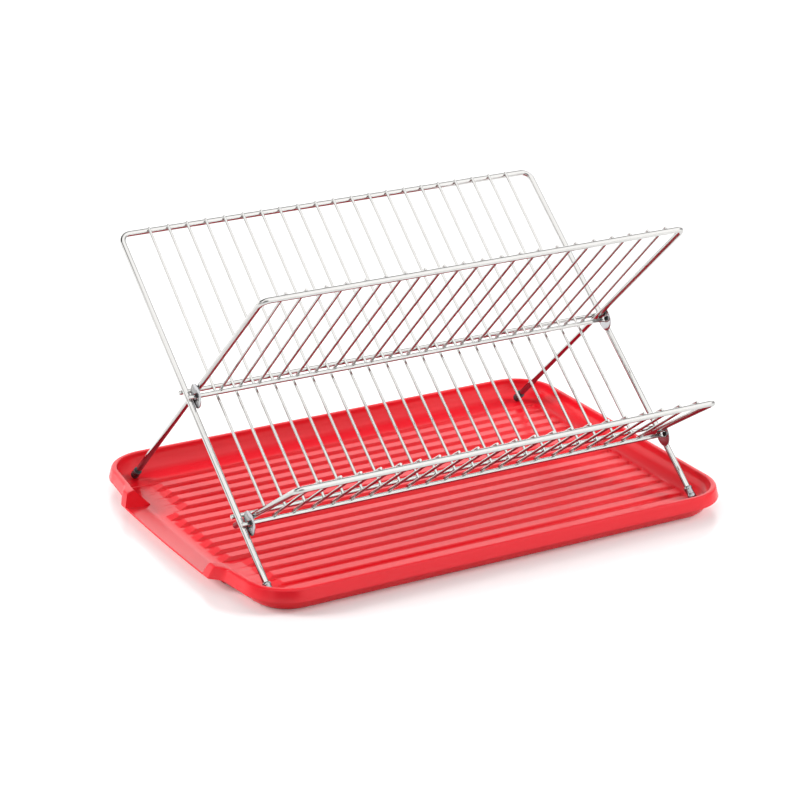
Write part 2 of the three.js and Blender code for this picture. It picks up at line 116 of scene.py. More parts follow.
grainDetail = {"fine": 4, "wideScale": 9, "middle": 0.5}
toneDetail = 3
bumpDepth = 0.2 * mm


def surfaceGrainGroup():
    # fine unevenness: a roughness around a middle value, and a height for bump
    group, inn, out = newGroup(
        "surfaceGrain",
        [("Scale", "NodeSocketFloat", 300.0), ("Roughness", "NodeSocketFloat", 0.3),
         ("Spread", "NodeSocketFloat", 0.05)],
        [("Roughness", "NodeSocketFloat"), ("Height", "NodeSocketFloat")])
    nodes, links = group.nodes, group.links
    place = nodes.new("ShaderNodeTexCoord")
    fine = nodes.new("ShaderNodeTexNoise")
    fine.inputs["Detail"].default_value = grainDetail["fine"]
    links.new(place.outputs["Object"], fine.inputs["Vector"])
    links.new(inn.outputs["Scale"], fine.inputs["Scale"])
    wide = nodes.new("ShaderNodeTexNoise")
    wide.inputs["Scale"].default_value = grainDetail["wideScale"]
    links.new(place.outputs["Object"], wide.inputs["Vector"])
    centred = mathNode(nodes, links, "SUBTRACT", wide.outputs["Fac"], grainDetail["middle"])
    rough = mathNode(nodes, links, "MULTIPLY_ADD", centred, inn.outputs["Spread"], inn.outputs["Roughness"])
    links.new(rough, out.inputs["Roughness"])
    links.new(fine.outputs["Fac"], out.inputs["Height"])
    return group


def toneGroup():
    # one colour that drifts a little towards another over the surface
    group, inn, out = newGroup(
        "toneDrift",
        [("Color", "NodeSocketColor", (1, 1, 1, 1)), ("Other", "NodeSocketColor", (1, 1, 1, 1)),
         ("Scale", "NodeSocketFloat", 6.0), ("Amount", "NodeSocketFloat", 0.3)],
        [("Color", "NodeSocketColor")])
    nodes, links = group.nodes, group.links
    place = nodes.new("ShaderNodeTexCoord")
    cloud = nodes.new("ShaderNodeTexNoise")
    cloud.inputs["Detail"].default_value = toneDetail
    links.new(place.outputs["Object"], cloud.inputs["Vector"])
    links.new(inn.outputs["Scale"], cloud.inputs["Scale"])
    share = mathNode(nodes, links, "MULTIPLY", cloud.outputs["Fac"], inn.outputs["Amount"])
    mix = nodes.new("ShaderNodeMix")
    mix.data_type = "RGBA"
    links.new(share, mix.inputs["Factor"])
    links.new(inn.outputs["Color"], mix.inputs["A"])
    links.new(inn.outputs["Other"], mix.inputs["B"])
    links.new(mix.outputs["Result"], out.inputs["Color"])
    return group


surfaceGrain = surfaceGrainGroup()
toneDrift = toneGroup()


def finishMaterial(name, values):
    mat = bpy.data.materials.new(name)
    mat.use_nodes = True
    nodes, links = mat.node_tree.nodes, mat.node_tree.links
    shader = nodes["Principled BSDF"]
    shader.inputs["Metallic"].default_value = values["metallic"]
    shader.inputs["IOR"].default_value = values.get("ior", 1.5)
    shader.inputs["Coat Weight"].default_value = values.get("coat", 0)
    shader.inputs["Coat Roughness"].default_value = values.get("coatRoughness", 0.1)
    tone = nodes.new("ShaderNodeGroup")
    tone.node_tree = toneDrift
    tone.inputs["Color"].default_value = (*values["color"], 1)
    tone.inputs["Other"].default_value = (*values["other"], 1)
    tone.inputs["Scale"].default_value = values["toneScale"]
    tone.inputs["Amount"].default_value = values["toneAmount"]
    color = tone.outputs["Color"]
    if "mirrored" in values:
        # painted shade: what mirrors see of this surface (the chrome wires, the glossy floor) is multiplied
        # darker, so its reflections come out darker than the lit surface
        path = nodes.new("ShaderNodeLightPath")
        shade = nodes.new("ShaderNodeMix")
        shade.data_type = "RGBA"
        shade.blend_type = "MULTIPLY"
        shade.inputs["B"].default_value = (*values["mirrored"], 1)
        links.new(path.outputs["Is Glossy Ray"], shade.inputs["Factor"])
        links.new(color, shade.inputs["A"])
        color = shade.outputs["Result"]
    links.new(color, shader.inputs["Base Color"])
    grain = nodes.new("ShaderNodeGroup")
    grain.node_tree = surfaceGrain
    grain.inputs["Scale"].default_value = values["grainScale"]
    grain.inputs["Roughness"].default_value = values["roughness"]
    grain.inputs["Spread"].default_value = values["roughnessSpread"]
    links.new(grain.outputs["Roughness"], shader.inputs["Roughness"])
    bump = nodes.new("ShaderNodeBump")
    bump.inputs["Strength"].default_value = values["bump"]
    bump.inputs["Distance"].default_value = bumpDepth
    links.new(grain.outputs["Height"], bump.inputs["Height"])
    links.new(bump.outputs["Normal"], shader.inputs["Normal"])
    return mat


chromePlate = finishMaterial("chromePlate", {
    "color": (0.595, 0.588, 0.575), "other": (0.52, 0.512, 0.50), "toneScale": 30, "toneAmount": 0.5,
    "metallic": 1, "roughness": 0.06, "roughnessSpread": 0.05, "grainScale": 900, "bump": 0.02,
})
stampedPlate = finishMaterial("stampedPlate", {
    "color": (0.54, 0.54, 0.55), "other": (0.42, 0.42, 0.44), "toneScale": 60, "toneAmount": 0.6,
    "metallic": 1, "roughness": 0.15, "roughnessSpread": 0.12, "grainScale": 700, "bump": 0.08,
})
redMoulding = finishMaterial("redMoulding", {
    "color": (0.83, 0.010, 0.022), "other": (0.79, 0.007, 0.016), "toneScale": 5, "toneAmount": 0.5,
    "metallic": 0, "ior": 1.43, "roughness": 0.23, "roughnessSpread": 0.05, "grainScale": 650, "bump": 0.10,
    # painted shade: the factor that darkens the tray's colour in reflections
    "mirrored": (0.55, 0.6, 1.0),
})
greyCap = finishMaterial("greyCap", {
    "color": (0.40, 0.40, 0.41), "other": (0.30, 0.30, 0.31), "toneScale": 40, "toneAmount": 0.6,
    "metallic": 1, "roughness": 0.20, "roughnessSpread": 0.10, "grainScale": 800, "bump": 0.1,
    "coat": 0.6, "coatRoughness": 0.08,
})
darkCap = finishMaterial("darkCap", {
    "color": (0.045, 0.045, 0.05), "other": (0.09, 0.09, 0.095), "toneScale": 40, "toneAmount": 0.5,
    "metallic": 0, "roughness": 0.24, "roughnessSpread": 0.10, "grainScale": 800, "bump": 0.1,
})
# near-black, for the sheet of painted shade in the pivot plates' slots
slotShade = finishMaterial("slotShade", {
    "color": (0.008, 0.008, 0.009), "other": (0.02, 0.02, 0.022), "toneScale": 80, "toneAmount": 0.5,
    "metallic": 0, "ior": 1.3, "roughness": 0.7, "roughnessSpread": 0.1, "grainScale": 800, "bump": 0.1,
})
print("materials made")


# mesh helpers

wireSharp = 35  # degrees between two faces, above which their edge stays sharp
# a tube's end: how far down, and how far in from the side, as shares of its edge
tubeEnd = ((0.0, 0.62), (0.3, 0.228), (1.0, 0.0))
bendSwellShare = 0.5


def finishMesh(bm, name):
    bmesh.ops.recalc_face_normals(bm, faces=bm.faces)
    mesh = bpy.data.meshes.new(name)
    bm.to_mesh(mesh)
    bm.free()
    return mesh


def makePiece(name, bm, material, body, nodes, sharp=wireSharp):
    mesh = finishMesh(bm, name)
    mesh.materials.append(material)
    for face in mesh.polygons:
        face.use_smooth = True
    mesh.set_sharp_from_angle(angle=radians(sharp))
    obj = addObject(name, mesh)
    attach(obj, body)
    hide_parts(*nodes)
    return obj


def ringAt(bm, centre, side, up, radius, count):
    ring = []
    for i in range(count):
        turn = 2 * pi * i / count
        ring.append(bm.verts.new(centre + side * (radius * cos(turn)) + up * (radius * sin(turn))))
    return ring


def joinRings(bm, rings):
    count = len(rings[0])
    for first, second in zip(rings, rings[1:]):
        for i in range(count):
            j = (i + 1) % count
            bm.faces.new((first[i], first[j], second[j], second[i]))


def addTube(bm, points, radius, sides, edge):
    # points in metres; the ends are chamfered round by edge
    points = [Vector(p) for p in points]
    along = [(b - a).normalized() for a, b in zip(points, points[1:])]
    side = along[0].orthogonal().normalized()
    rings = []
    last = len(points) - 1
    for i, point in enumerate(points):
        inward = along[max(i - 1, 0)]
        outward = along[min(i, last - 1)]
        tangent = (inward + outward).normalized()
        side = (side - tangent * side.dot(tangent)).normalized()
        up = tangent.cross(side)
        if i == 0 or i == last:
            out = -tangent if i == 0 else tangent
            made = [ringAt(bm, point - out * edge * down, side, up, radius - edge * inset, sides)
                    for down, inset in tubeEnd]
            if i == last:
                made.reverse()
            rings += made
        else:
            swell = (1 / inward.dot(tangent) - 1) * bendSwellShare
            rings.append(ringAt(bm, point, side, up, radius * (1 + swell), sides))
    joinRings(bm, rings)
    bm.faces.new(list(reversed(rings[0])))
    bm.faces.new(rings[-1])


# the wire stock, shared by the three frames
stock = {
    "hoop": 3.0,
    "hoopRound": 2.94,  # its drawn radius, so that the round wire stays inside the faceted one
    "bar": 2.2,
    "wire": 1.4,
    "weldSink": 0.35,  # how deep a weld presses two wires into each other
    "gap": 0.3,  # clearance in the solids where pieces are welded
    "hoopSides": 28,
    "barSides": 24,
    "wireSides": 16,
    "cornerSteps": 14,
    "hoopEdge": 0.5,
    "barEdge": 0.5,
    "wireEdge": 0.45,
    "bend": 3.0,
    "bendSteps": 4,
    "wireCount": 21,
    "wirePitch": 20.5,
    "wirePast": 1.2,  # past the hoop's middle line
    "wireTail": 1.0,  # past the rod's side
    "capWall": 0.9,
    "capRoom": 0.3,  # between a hoop's end and the middle of its cap's dome
}
weldReach = stock["hoop"] + stock["gap"] + stock["bar"]
jointPlace = {j["name"]: Vector(j["pos_m"]) for j in frame["joints"]}

mainValues = {
    "lean": 38.64,
    "length": 414.5,
    "halfSpan": 235.0,
    "corner": 10.0,
    "crossPivotAt": 219.5,
    "shelfPivotAt": 77.6,
    "barHalf": 239.5,
}
crossValues = {
    "lean": 42.86,
    "length": 407.5,
    "halfSpan": 227.4,
    "corner": 8.0,
    "rodHalf": 238.0,
    "wireShift": 3.0,
}
shelfValues = {
    "lean": 33.0,
    "length": 114.3,
    "tail": 38.0,
    "halfSpan": 227.4,
    "corner": 8.0,
    "rodHalf": 238.0,
    "wireShift": 2.0,
}


def frameAxes(lean, forward):
    # along the legs and off them; forward says that the legs lean to the front
    turn = radians(lean)
    if forward:
        return Vector((0, -cos(turn), sin(turn))), Vector((0, -sin(turn), -cos(turn)))
    return Vector((0, cos(turn), sin(turn))), Vector((0, -sin(turn), cos(turn)))


mainAlong, mainOff = frameAxes(mainValues["lean"], False)
crossAlong, crossOff = frameAxes(crossValues["lean"], True)
shelfAlong, shelfOff = frameAxes(shelfValues["lean"], True)
mainZero = jointPlace["cross_fold"] - (mainAlong * mainValues["crossPivotAt"] + mainOff * weldReach) * mm
capRadius = stock["hoop"] + stock["gap"] + stock["capWall"]
mainDome = capRadius / sin(radians(mainValues["lean"]))
crossDome = capRadius / sin(radians(crossValues["lean"]))
crossLean = radians(crossValues["lean"])
crossRodHeight = (jointPlace["cross_fold"].z - mainZero.z) / mm
crossRodAt = (crossRodHeight + weldReach * cos(crossLean)) / sin(crossLean)
crossZero = jointPlace["cross_fold"] - (crossAlong * crossRodAt + crossOff * weldReach) * mm
shelfZero = jointPlace["shelf_fold"] - shelfOff * weldReach * mm


def onFrame(zero, along, off):
    def place(x, l, n):
        return zero + Vector((x * mm, 0, 0)) + (along * l + off * n) * mm
    return place


onMain = onFrame(mainZero, mainAlong, mainOff)
onCross = onFrame(crossZero, crossAlong, crossOff)
onShelf = onFrame(shelfZero, shelfAlong, shelfOff)


def stopBarAt(pivotAt, openAngle):
    return pivotAt + (2 * weldReach + 2 * weldReach * cos(openAngle)) / sin(openAngle)


midAt = stopBarAt(mainValues["crossPivotAt"], radians(mainValues["lean"] + crossValues["lean"]))
lowAt = stopBarAt(mainValues["shelfPivotAt"], radians(mainValues["lean"] + shelfValues["lean"]))


def hoopRoute(place, values, start):
    # up one leg, round the two corners and down the other leg
    halfSpan, length, corner = values["halfSpan"], values["length"], values["corner"]
    steps = stock["cornerSteps"]
    route = [place(-halfSpan, start, 0)]
    for side in (-1, 1):
        for i in range(steps + 1):
            share = i / steps if side < 0 else 1 - i / steps
            turn = share * pi / 2
            across = halfSpan - corner + corner * cos(turn)
            along = length - corner + corner * sin(turn)
            route.append(place(side * across, along, 0))
    route.append(place(halfSpan, start, 0))
    return route


def addHoop(name, place, values, start, body, node):
    bm = bmesh.new()
    route = hoopRoute(place, values, start)
    addTube(bm, route, stock["hoopRound"] * mm, stock["hoopSides"], stock["hoopEdge"] * mm)
    makePiece(name, bm, chromePlate, body, [node])


def addRod(bm, place, half, along, off):
    ends = [place(-half, along, off), place(half, along, off)]
    addTube(bm, ends, stock["bar"] * mm, stock["barSides"], stock["barEdge"] * mm)


def addBar(name, place, half, along, off, body, node):
    bm = bmesh.new()
    addRod(bm, place, half, along, off)
    makePiece(name, bm, chromePlate, body, [node])


beadValues = {
    "size": (2.1, 1.7, 0.9),  # half of its reach across, along and off the wire
    "steps": 12,
    "rows": 5,
}


def addWeldBead(bm, place, x, along, off, outward):
    # a small flat nugget on each side of a wire, where it is melted into a bar
    centre = place(x, along, off)
    lean = (place(x, along + 1, off) - centre).normalized()
    lift = (place(x, along, off + 1) - centre).normalized()
    steps, rows = beadValues["steps"], beadValues["rows"]
    size = Vector(beadValues["size"]) * mm
    middle = centre - lift * outward * stock["wire"] * mm
    rings = []
    for row in range(1, rows):
        turn = pi * row / rows
        ring = []
        for i in range(steps):
            spin = 2 * pi * i / steps
            spot = middle + Vector((1, 0, 0)) * (size.x * sin(turn) * cos(spin))
            spot += lean * (size.y * sin(turn) * sin(spin)) + lift * (size.z * cos(turn))
            ring.append(bm.verts.new(spot))
        rings.append(ring)
    joinRings(bm, rings)
    bm.faces.new(rings[0])
    bm.faces.new(rings[-1])


def addWires(label, place, values, profile, welds, body, intoBm=None):
    # profile and welds: (along, off); a weld also says which way its bar lies
    for i in range(stock["wireCount"]):
        x = values.get("wireShift", 0.0) + (i - (stock["wireCount"] - 1) / 2) * stock["wirePitch"]
        bm = intoBm if intoBm is not None else bmesh.new()
        route = [place(x, along, off) for along, off in profile]
        addTube(bm, route, stock["wire"] * mm, stock["wireSides"], stock["wireEdge"] * mm)
        for along, off, outward in welds:
            addWeldBead(bm, place, x, along, off, outward)
        if intoBm is None:
            name = f"{label}Wire{i + 1:02d}"
            makePiece(name, bm, chromePlate, body, [f"{label}_wire_{i + 1:02d}"])


def bendRoute(points, bends):
    # rounds the given corners of a route in (along, off)
    radius, steps = stock["bend"], stock["bendSteps"]
    out = []
    for i, point in enumerate(points):
        if i in bends:
            before, after = Vector(points[i - 1]), Vector(points[i + 1])
            here = Vector(point)
            a = here + (before - here).normalized() * radius
            c = here + (after - here).normalized() * radius
            for step in range(steps + 1):
                t = step / steps
                spot = a * (1 - t) ** 2 + here * 2 * t * (1 - t) + c * t ** 2
                out.append((spot.x, spot.y))
        else:
            out.append(tuple(point))
    return out


def topPlaces(values, seat):
    # a wire's two last places, over its hoop's top
    return [(values["length"] - stock["hoop"], seat), (values["length"] + stock["wirePast"], seat)]


sink = stock["weldSink"]
hoopSeat = stock["hoop"] + stock["wire"] - sink
barSeat = stock["bar"] + stock["wire"] - sink


def addMainFrame():
    v = mainValues
    addHoop("mainHoop", onMain, v, mainDome + stock["capRoom"], "main_frame", "main_hoop")
    barOff = -weldReach + stock["gap"] + sink / 2
    addBar("mainMidBar", onMain, v["barHalf"], midAt, barOff, "main_frame", "main_mid_bar")
    addBar("mainLowBar", onMain, v["barHalf"], lowAt, barOff, "main_frame", "main_low_bar")
    behind = barOff + barSeat
    profile = bendRoute([
        (lowAt - stock["bar"] - stock["wireTail"], behind),
        (midAt, behind),
        *topPlaces(v, hoopSeat),
    ], [1, 2])
    welds = [(lowAt, behind, 1), (midAt, behind, 1), (v["length"], hoopSeat, 1)]
    addWires("main", onMain, v, profile, welds, "main_frame")


def addCrossFrame():
    v = crossValues
    addHoop("crossHoop", onCross, v, crossDome + stock["capRoom"], "cross_frame", "cross_hoop")
    addBar("crossPivotRod", onCross, v["rodHalf"], crossRodAt, weldReach, "cross_frame", "cross_pivot_rod")
    atRod = weldReach - barSeat
    profile = bendRoute([
        (crossRodAt - stock["bar"] - stock["wireTail"], atRod),
        (crossRodAt, atRod),
        *topPlaces(v, -hoopSeat),
    ], [2])
    welds = [(crossRodAt, atRod, -1), (v["length"], -hoopSeat, -1)]
    addWires("cross", onCross, v, profile, welds, "cross_frame")


def addLowerShelf():
    v = shelfValues
    addHoop("shelfHoop", onShelf, v, -v["tail"], "lower_shelf", "shelf_hoop")
    bm = bmesh.new()
    addRod(bm, onShelf, v["rodHalf"], 0, weldReach)
    atRod = weldReach - barSeat
    profile = bendRoute([
        (-stock["bar"] - stock["wireTail"], atRod),
        (0, atRod),
        *topPlaces(v, -hoopSeat),
    ], [2])
    welds = [(0, atRod, -1), (v["length"], -hoopSeat, -1)]
    addWires("shelf", onShelf, v, profile, welds, "lower_shelf", intoBm=bm)
    makePiece("shelfGrille", bm, chromePlate, "lower_shelf", ["shelf_grille"])


addMainFrame()
addCrossFrame()
addLowerShelf()
print("wire frames made")


# foot caps: moulded sleeves with a rounded sole and a collar
capValues = {
    "length": 15.0,
    "bore": 3.1,
    "boreDeep": 1.5,  # how deep the open end is drawn
    "collar": 0.35,  # how far the collar and the sole stand out
    "collarLength": 3.0,
    # steps in the profile: how far along, and how much thicker than the sleeve
    "soleSteps": ((1.5, 0.35), (2.0, 0.1), (2.6, 0.0)),
    "collarSteps": ((-0.5, -0.05), (0.0, 0.25), (0.4, 0.35)),
    "topSteps": ((-0.4, 0.35), (0.0, -0.05)),
    "domeSteps": 8,
    "sides": 32,
    "sharp": 50,
}


def addFootCap(name, place, x, domeAt, material, body, node):
    v = capValues
    sleeve = capRadius - v["collar"]
    top = v["length"] - capRadius
    profile = []
    for i in range(v["domeSteps"] + 1):
        turn = pi / 2 * i / v["domeSteps"]
        profile.append((-capRadius * cos(turn), capRadius * sin(turn)))
    for start, steps in ((0.0, "soleSteps"), (top - v["collarLength"], "collarSteps"), (top, "topSteps")):
        profile += [(start + along, sleeve + past) for along, past in v[steps]]
    profile += [(top, v["bore"]), (top - v["boreDeep"], v["bore"])]
    centre = place(x, domeAt, 0)
    lean = (place(x, domeAt + 1, 0) - centre).normalized()
    side = Vector((1, 0, 0))
    up = lean.cross(side)
    bm = bmesh.new()
    tip = bm.verts.new(centre + lean * profile[0][0] * mm)
    rings = [ringAt(bm, centre + lean * l * mm, side, up, r * mm, v["sides"]) for l, r in profile[1:]]
    for i in range(v["sides"]):
        bm.faces.new((tip, rings[0][(i + 1) % v["sides"]], rings[0][i]))
    joinRings(bm, rings)
    bm.faces.new(rings[-1])
    makePiece(name, bm, material, body, [node], v["sharp"])


for side, label in ((-1, "left"), (1, "right")):
    addFootCap("frontFoot" + label.title(), onMain, side * mainValues["halfSpan"], mainDome, greyCap,
               "main_frame", f"front_foot_cap_{label}")
    addFootCap("backFoot" + label.title(), onCross, side * crossValues["halfSpan"], crossDome, darkCap,
               "cross_frame", f"back_foot_cap_{label}")
print("feet made")


# pivot plates: stamped ovals with a slot, bent rims softened
plateValues = {
    "turn": 24.0,
    "rear": 7.0,
    "front": 14.5,
    "halfHeight": 12.0,
    "slotFront": 10.6,
    "slotHalf": 2.5,
    "thickness": 1.0,
    "edge": 0.22,
    "edgeShare": 0.3,
    "across": 231.2,
    "shadeSheetBack": 2.9,  # where the near-black sheet of painted shade starts, in the slot's free part
    "shadeSheetFront": 10.3,
    "shadeSheetHalf": 2.35,
    "shadeSheetDeep": 0.2,  # half of its thickness
    "sides": 64,
    "shadeSheetSides": 24,
    "sharp": 40,
}


def longRound(back, front, half, count):
    # an outline with two round ends
    spots = []
    for i in range(count):
        turn = 2 * pi * i / count
        middle = front - half if cos(turn) > 0 else back + half
        spots.append((middle + half * cos(turn), half * sin(turn)))
    return spots


def addPivotPlate(name, side, along, node):
    v = plateValues
    count = v["sides"]
    middle, half = (v["front"] - v["rear"]) / 2, (v["front"] + v["rear"]) / 2
    outline = [(middle + half * cos(2 * pi * i / count), v["halfHeight"] * sin(2 * pi * i / count))
               for i in range(count)]
    slot = longRound(-v["slotHalf"], v["slotFront"], v["slotHalf"], count)
    turn = radians(v["turn"])
    forward = mainOff * cos(turn) - mainAlong * sin(turn)
    downward = -mainAlong * cos(turn) - mainOff * sin(turn)
    rod = onMain(side * v["across"], along, weldReach)
    t, e, part = v["thickness"] / 2, v["edge"], v["edge"] * v["edgeShare"]
    # rim sections, from the inside face round the edge to the outside face
    sections = [(-t, e), (-t + part, part), (-t + e, 0), (t - e, 0), (t - part, part), (t, e)]
    bm = bmesh.new()

    def ring(points, depth, inset, sign):
        made = []
        size = len(points)
        for i, (a, b) in enumerate(points):
            pa, pb = Vector(points[i - 1]), Vector(points[(i + 1) % size])
            out = Vector(((pb - pa).y, -(pb - pa).x)).normalized() * sign
            spot = Vector((a, b)) - out * inset
            across = Vector((depth * mm, 0, 0))
            made.append(bm.verts.new(rod + (forward * spot.x + downward * spot.y) * mm + across))
        return made

    outer = [ring(outline, depth, inset, 1) for depth, inset in sections]
    inner = [ring(slot, depth, inset, -1) for depth, inset in sections]
    for rings in (outer, inner, (outer[0], inner[0]), (outer[-1], inner[-1])):
        joinRings(bm, rings)
    # painted shade: a thin near-black sheet fills the slot's free part, standing in for the shadow in its
    # depth
    web = longRound(v["shadeSheetBack"], v["shadeSheetFront"], v["shadeSheetHalf"], v["shadeSheetSides"])
    shadeSheetEnds = [ring(web, depth, 0, 1) for depth in (-v["shadeSheetDeep"], v["shadeSheetDeep"])]
    joinRings(bm, shadeSheetEnds)
    for end in shadeSheetEnds:
        bm.faces.new(end).material_index = 1
    obj = makePiece(name, bm, stampedPlate, "main_frame", [node], v["sharp"])
    obj.data.materials.append(slotShade)


for side, label in ((-1, "left"), (1, "right")):
    for kind in ("cross", "shelf"):
        pivotAt = mainValues[f"{kind}PivotAt"]
        addPivotPlate(f"{kind}Plate{label.title()}", side, pivotAt, f"{kind}_pivot_plate_{label}")
print("plates made")


# drip tray: one moulding, whose left wall is open between two ends, with a ramp and a lip for a spout
tray = {
    "length": 508.0,
    "width": 367.93,
    "corner": 40.0,
    "wall": 1.8,
    "floor": 6.2,
    "rise": 18.0,
    "rim": 5.5,
    "innerEdge": 1.2,  # rounding of the rim
    "outerEdge": 2.0,
    "skirt": 12.0,
    "skirtFlare": 3.0,  # the skirt stands out this much more at its lower edge
    "bow": 12.0,
    "draw": {"left": 8.0, "right": 17.0, "front": 7.0, "back": 18.0},  # from the wall's top in to its foot
    "ribPitch": 18.8,
    "ribCount": 15,
    "ribTop": 9.0,
    "ribShift": 3.0,
    "grooveBottom": 5.8,
    "grooveDeep": 4.4,
    "grooveKnee": 0.25,
    "deepenFast": 8,  # a groove gets deeper over one part in so many of its length
    "rightDepthShare": 0.72,
    "channel": 3.4,
    "slope": 11.0,
    "shortFoot": 223.0,
    "longFoot": 241.0,
    "shortRibs": 4,
    "endSlope": 12.0,
    "spoutShift": -3.0,
    "spoutHalf": 87.0,  # half of the gap, at the lip's edge
    "spoutFunnel": 20.0,  # each end stands out this much more at the foot of the ramp
    "spoutFlare": 3.0,
    "endFoot": 10.0,  # the wall's foot is this much wider at the gap's ends
    "endFootReach": 26.0,
    "warpOutside": 44.0,
    "warpInside": 70.0,
    "lipRise": 6.3,
    "rampFoot": 242.0,
    "rampKnee": 0.3,
    "lipEdge": 275.0,
    "lipBow": 1.48,
    "lipOver": 1.1,  # the ramp ends so many lip radii inside the edge
    "lipSteps": 6,
    "rampShape": 0.9,
    "rampRoom": 1.5,
    "cheek": 11.5,  # beside the gap the wall is solid so far
    "cheekBlend": 16.0,
    "cheekLean": 4.5,
    "cheekShape": 2.2,
    "endRound": 0.6,
    "endRoundShare": 0.7,
    "slit": 0.1,  # least room between two faces that would else fall on each other
    "cornerSteps": 20,
    "wallSteps": 12,
    "innerSteps": 4,
    "outerSteps": 5,
    "lowSteps": 4,
    "downSteps": 8,
    "sharp": 38,
}
trayLines = {  # how close the tray's sections and the lines of its floor lie
    "straight": 14,  # parts of a straight side
    "cornerRoom": 3.0,
    "cornerSkip": 2.0,
    "wall": 4.0,  # steps on the left side
    "blend": 1.1,
    "blendRoom": 3.0,
    "nearRamp": 3.0,
    "nearEnd": 30.0,
    "ramp": 8.0,
    "channel": 4.0,  # steps along the floor
    "slope": 0.8,
    "behindSlope": 2.5,
    "start": 3.0,
    "startTo": -180.0,
    "ribs": 20.0,
    "endReach": 12.0,
    "end": 1.5,
    "tipReach": 6.0,
    "tip": 0.6,
    "edge": 1.0,  # room at a change of step
    "border": 5.0,  # steps across the floor
    "fold": 2.0,
    "margin": 0.9,
    "flankShares": (0.0, 0.12, 0.24, 0.31, 0.34, 0.38, 0.43, 0.48, 0.52, 0.6, 0.8),
}
halfX, halfY = tray["length"] / 2, tray["width"] / 2
straightY = halfY - tray["corner"]
rimZ = tray["floor"] + tray["rise"]
lipZ = tray["floor"] + tray["lipRise"]
ribsHalf = tray["ribCount"] * tray["ribPitch"] / 2
ribsFront, ribsBack = tray["ribShift"] - ribsHalf, tray["ribShift"] + ribsHalf
ribsRight = halfX - tray["draw"]["right"]
trayCorners = [(-1, -1, "left", "front"), (1, -1, "right", "front"),
               (1, 1, "right", "back"), (-1, 1, "left", "back")]


def mixed(a, b, share):
    return a + (b - a) * share


def smooth(t):
    t = min(max(t, 0.0), 1.0)
    return t * t * (3 - 2 * t)


def soften(t, knee=0.1):
    # a straight ramp from 0 to 1 with rounded ends
    t = min(max(t, 0.0), 1.0)
    if t < knee:
        return t * t / (2 * knee * (1 - knee))
    if t > 1 - knee:
        return 1 - (1 - t) ** 2 / (2 * knee * (1 - knee))
    return (t - knee / 2) / (1 - knee)


def bowAt(y):
    return tray["bow"] * max(0.0, sin(pi * (straightY - y) / (2 * straightY)))


def lipAt(y):
    along = (y - tray["spoutShift"]) / (tray["spoutHalf"] + tray["cheek"])
    return -tray["lipEdge"] - tray["lipBow"] * max(0.0, cos(min(abs(along), 1.0) * pi / 2))


def rampRise(share):
    # a straight ramp that starts with a rounded foot
    knee = tray["rampKnee"]
    straight = 1 - knee / 2
    if share < knee:
        return share * share / (2 * knee * straight)
    return (share - knee / 2) / straight


def endShift(x, z):
    # how far the gap's end plane stands out here, from where it is at the lip
    v = tray
    funnel = v["spoutFunnel"] * (x + v["lipEdge"]) / (v["lipEdge"] - v["rampFoot"])
    return funnel + v["spoutFlare"] * (z - lipZ) / (rimZ - lipZ)


def wideFoot(y):
    # extra width of the wall's foot beside the gap
    past = abs(y - tray["spoutShift"]) - tray["spoutHalf"]
    return tray["endFoot"] * (1 - smooth(past / tray["endFootReach"]))


def warped(y, x, z):
    # y on the left side, drawn out beside the gap's ends so that these follow their plane
    v = tray
    side = 1 if y > v["spoutShift"] else -1
    off = abs(y - v["spoutShift"])
    past = off - v["spoutHalf"]
    near = 1 - smooth(past / v["warpOutside"]) if past > 0 else 1 - smooth(-past / v["warpInside"])
    return y + side * near * endShift(x, z)


def floorHeight(x, y):
    v = tray
    deep = v["channel"]
    index = (y - ribsFront) / v["ribPitch"]
    isShort = index < v["shortRibs"] or index > v["ribCount"] - v["shortRibs"]
    foot = -v["shortFoot"] if isShort else -v["longFoot"]
    inChannel = 1 - soften((x - foot) / v["slope"])  # the low channel at the left
    ends = soften((y - (ribsFront - v["endSlope"])) / v["endSlope"])
    ends = min(ends, soften(((ribsBack + v["endSlope"]) - y) / v["endSlope"]))
    depth = deep * inChannel * ends
    if -0.5 < index < v["ribCount"] + 0.5:
        across = abs(index - round(index)) * v["ribPitch"]
        halfTop = (v["ribPitch"] - v["ribTop"]) / 2
        halfBottom = v["grooveBottom"] / 2
        past = max(0.0, x - (ribsRight - halfTop))  # the right ends are half round
        across = sqrt(across * across + past * past)
        flank = 1 - soften((across - halfBottom) / (halfTop - halfBottom), v["grooveKnee"])
        share = min(max((x + v["longFoot"]) / (ribsRight + v["longFoot"]), 0.0), 1.0)
        grooveDepth = mixed(deep, v["grooveDeep"], smooth(share * v["deepenFast"]))
        grooveDepth *= mixed(1.0, v["rightDepthShare"], share)
        start = soften((x + v["longFoot"] + v["slope"]) / v["slope"])
        depth = max(depth, grooveDepth * flank * (1.0 if isShort else start))
    return v["floor"] - depth


